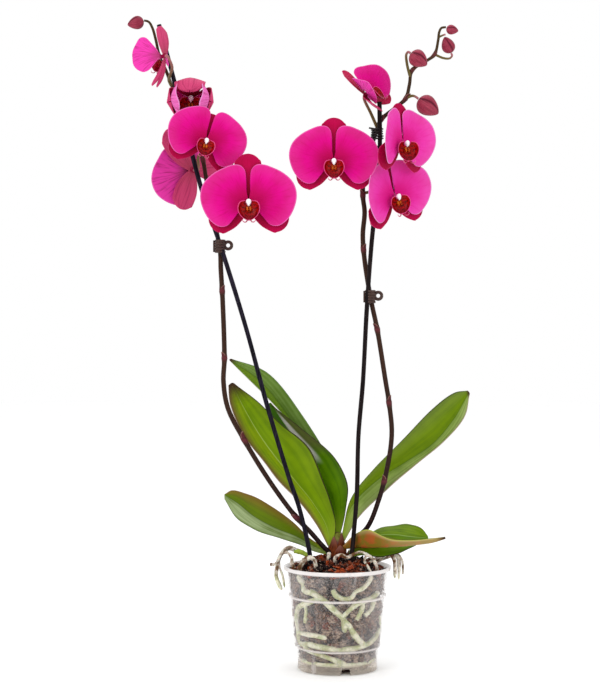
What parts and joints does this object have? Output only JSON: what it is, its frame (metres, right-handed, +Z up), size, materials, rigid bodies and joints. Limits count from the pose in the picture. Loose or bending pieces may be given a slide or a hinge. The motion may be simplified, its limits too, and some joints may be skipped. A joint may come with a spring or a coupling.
{
  "type": "potted orchid",
  "caption": "Moth orchid with two staked spikes of magenta flowers and buds, thick green leaves and aerial roots, growing in bark in a clear grower pot.",
  "frame": {"origin": "centre of the flat underside of the pot", "axes": "+Z up the plant; -Y towards the front of the picture; +X to the right of the picture"},
  "size_m": [0.3801, 0.1458, 0.7242],
  "materials": {
    "clear_pot": "clear, slightly cloudy moulded plastic",
    "crown": "dry, papery leaf sheaths",
    "root": "silvery green, smooth",
    "bark": "rough reddish-brown chips",
    "leaf": "thick, glossy green",
    "stake": "near-black coated stick",
    "stem": "olive brown, satin",
    "clip": "dark clear brown",
    "petal": "magenta with a pale rim, velvety",
    "lip": "deep red with yellow, waxy",
    "bud": "mauve, satin"
  },
  "bodies": {
    "root": {"pot": "clear_pot", "crown": "crown", "roots": "root", "bark": "bark", "leaf_back_left": "leaf", "leaf_front_left": "leaf", "leaf_middle_left": "leaf", "leaf_right": "leaf", "leaf_low_right_front": "leaf", "leaf_low_right_back": "leaf", "leaf_low_left": "leaf", "stake_left": "stake", "stake_right": "stake", "spike_left": "stem", "spike_right": "stem", "clip_left": "clip", "clip_right": "clip", "clip_upper": "clip", "flower_left_low_tepals": "petal", "flower_left_low_lip": "lip", "flower_left_middle_tepals": "petal", "flower_left_middle_lip": "lip", "flower_left_back_tepals": "petal", "flower_left_back_lip": "lip", "flower_left_opening_tepals": "petal", "flower_left_opening_lip": "lip", "flower_left_top_tepals": "petal", "flower_left_top_lip": "lip", "flower_right_front_tepals": "petal", "flower_right_front_lip": "lip", "flower_right_upper_tepals": "petal", "flower_right_upper_lip": "lip", "flower_right_lower_tepals": "petal", "flower_right_lower_lip": "lip", "flower_right_top_tepals": "petal", "flower_right_top_lip": "lip", "bud_left_tip": "bud", "bud_right_large": "bud", "bud_right_second": "bud", "bud_right_third": "bud", "bud_right_tip": "bud"}
  },
  "joints": []
}
